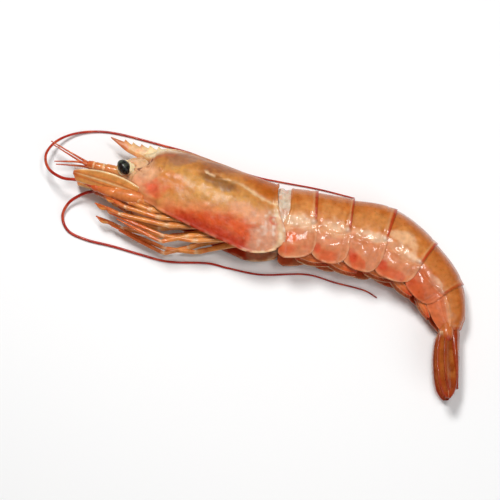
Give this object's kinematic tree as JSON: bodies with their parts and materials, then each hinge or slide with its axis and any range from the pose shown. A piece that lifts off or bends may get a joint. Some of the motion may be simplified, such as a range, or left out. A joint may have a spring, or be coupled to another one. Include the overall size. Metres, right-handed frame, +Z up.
{
  "type": "raw red prawn",
  "caption": "Whole raw red prawn lying on its side, with head shield, feelers, folded legs, segmented curved tail and closed tail fan.",
  "frame": {"origin": "centre of the bounding box in plan, on the surface that the prawn lies on", "axes": "+X from head to tail, +Y towards the back, +Z up, out of the animal's left side"},
  "size_m": [0.15, 0.0991, 0.021],
  "materials": {
    "shell": "wet, orange and tan shell with red borders"
  },
  "bodies": {
    "root": {"prawn": "shell"}
  },
  "joints": []
}
